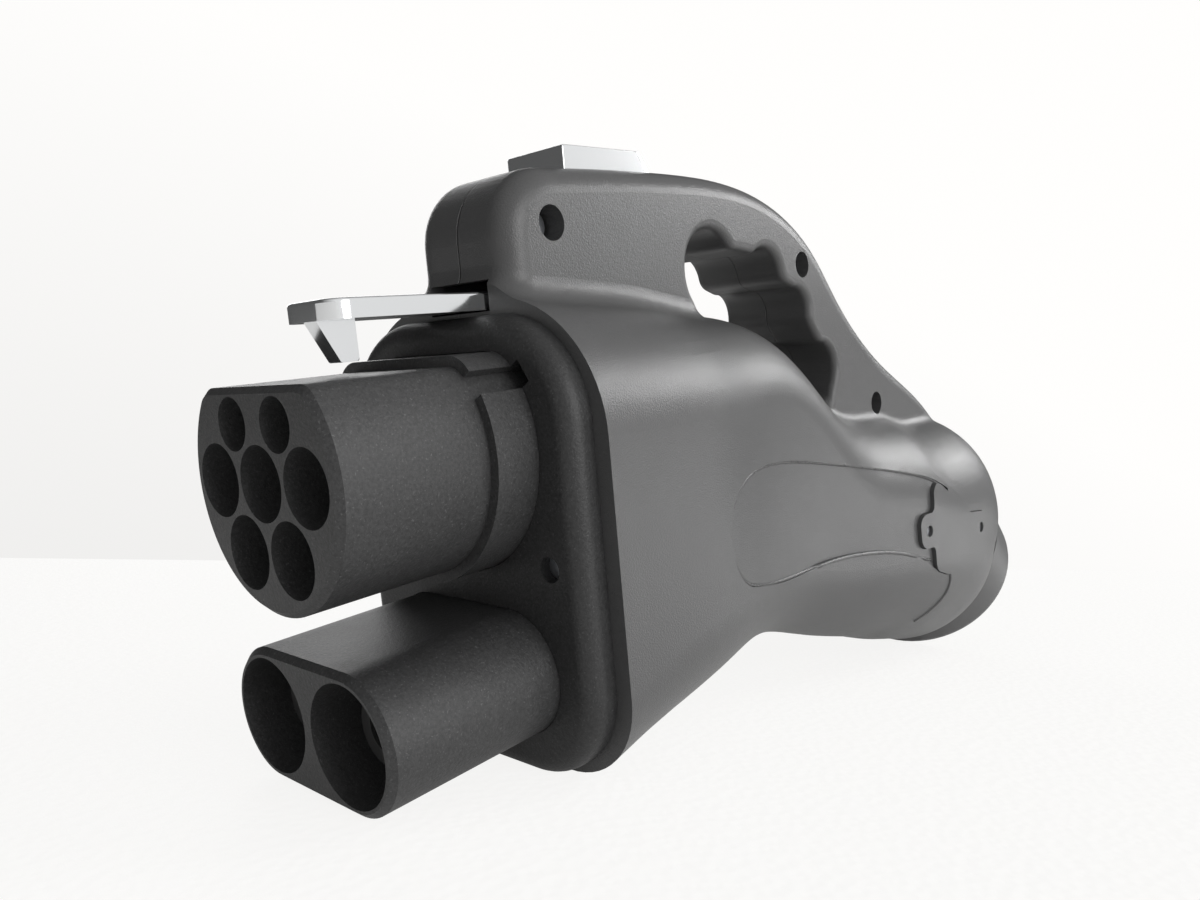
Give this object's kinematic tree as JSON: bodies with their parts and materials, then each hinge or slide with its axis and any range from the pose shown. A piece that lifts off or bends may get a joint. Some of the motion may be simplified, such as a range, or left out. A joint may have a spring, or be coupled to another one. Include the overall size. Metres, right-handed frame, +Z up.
{
  "type": "electric vehicle charging adapter",
  "caption": "Hand-held DC charging adapter: vehicle plug with sprung hook latch, moulded loop-handle housing and round rear inlet.",
  "frame": {"origin": "centre of the mouth of the plug's earth contact", "axes": "+X to the adapter's left, across it; +Y towards the rear inlet, along the rest surface; +Z up from the surface that the adapter rests on. The plug axis is tilted up 11.3 degrees at its front."},
  "size_m": [0.0824, 0.3294, 0.1498],
  "materials": {
    "housing_plastic": "fine satin mould texture",
    "block_plastic": "matte fine mould texture",
    "bright_chrome": "polished plating",
    "seal_rubber": "soft matte",
    "contact_silver": "silver-plated copper",
    "screw_steel": "zinc-plated",
    "spring_steel": "drawn wire",
    "clear_insulator": "unfilled moulding",
    "board_green": "solder mask",
    "part_black": "moulded",
    "lead_orange": "insulated conductor",
    "lead_green": "insulated conductor",
    "lead_grey": "insulated conductor",
    "cell_wrap": "shrink wrap"
  },
  "bodies": {
    "adapter": {"housing_left": "housing_plastic", "housing_right": "housing_plastic", "service_cover": "housing_plastic", "front_flange": "block_plastic", "ac_contact_block": "block_plastic", "dc_contact_block": "block_plastic", "inlet_shell": "block_plastic", "inlet_pin_carrier": "block_plastic", "contact_tip_caps": "clear_insulator", "contact_retainer": "block_plastic", "flange_seal": "seal_rubber", "cover_seal": "seal_rubber", "inlet_seal": "seal_rubber", "latch_pin": "spring_steel", "latch_spring": "spring_steel", "latch_switch": "part_black", "earth_contact": "contact_silver", "proximity_contact": "contact_silver", "pilot_contact": "contact_silver", "dc_contact_plus": "contact_silver", "dc_contact_minus": "contact_silver", "inlet_pin_plus": "contact_silver", "inlet_pin_minus": "contact_silver", "inlet_earth_pin": "contact_silver", "inlet_signal_pins": "contact_silver", "housing_screws": "screw_steel", "flange_screws": "screw_steel", "cover_screws": "screw_steel", "retainer_screws": "screw_steel", "board_screws": "screw_steel", "control_board": "board_green", "service_board": "board_green", "board_parts": "part_black", "service_socket": "screw_steel", "battery_cell": "cell_wrap", "dc_lead_plus": "lead_orange", "dc_lead_minus": "lead_orange", "earth_lead": "lead_green", "signal_leads": "lead_grey"},
    "latch": {"latch_lever": "bright_chrome"},
    "button": {"release_button": "bright_chrome"}
  },
  "joints": [
    {"name": "latch_swing", "type": "hinge", "parent": "adapter", "child": "latch", "pos_m": [0, 0.06028, 0.04385], "axis": [-1, 0, 0], "range_deg": [0, 4.5], "stiffness_Nm_per_rad": 0.8, "springref_deg": -5.73, "deforming": ["latch_spring"]},
    {"name": "button_press", "type": "slide", "parent": "adapter", "child": "button", "axis": [0, 0.1957, -0.9807], "range_m": [0, 0.0016]}
  ],
  "couplings": [
    {"joint": "button_press", "follows": "latch_swing", "m_per_rad": 0.02}
  ]
}
